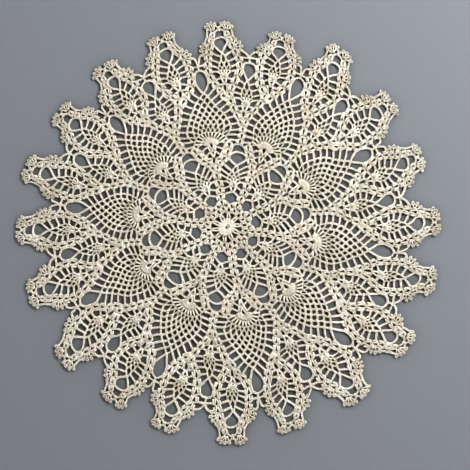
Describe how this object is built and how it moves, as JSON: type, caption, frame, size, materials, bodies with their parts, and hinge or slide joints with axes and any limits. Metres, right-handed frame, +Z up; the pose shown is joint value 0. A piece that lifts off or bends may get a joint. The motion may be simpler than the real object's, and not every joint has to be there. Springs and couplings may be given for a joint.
{
  "type": "round crochet lace tablecloth",
  "caption": "Round cotton crochet tablecloth in pineapple lace with a scalloped picot edge, lying flat, to cover or dress a small table.",
  "frame": {"origin": "centre of the starting ring, on the flat underside that lies on the table", "axes": "+Z up out of the table; +Y towards the top of the cloth as it is seen from above, +X to its right"},
  "size_m": [0.6026, 0.6011, 0.0024],
  "materials": {
    "cotton_thread": "matt ecru cotton thread, tightly plied, crocheted"
  },
  "bodies": {
    "root": {"lace_cloth": "cotton_thread"}
  },
  "joints": []
}
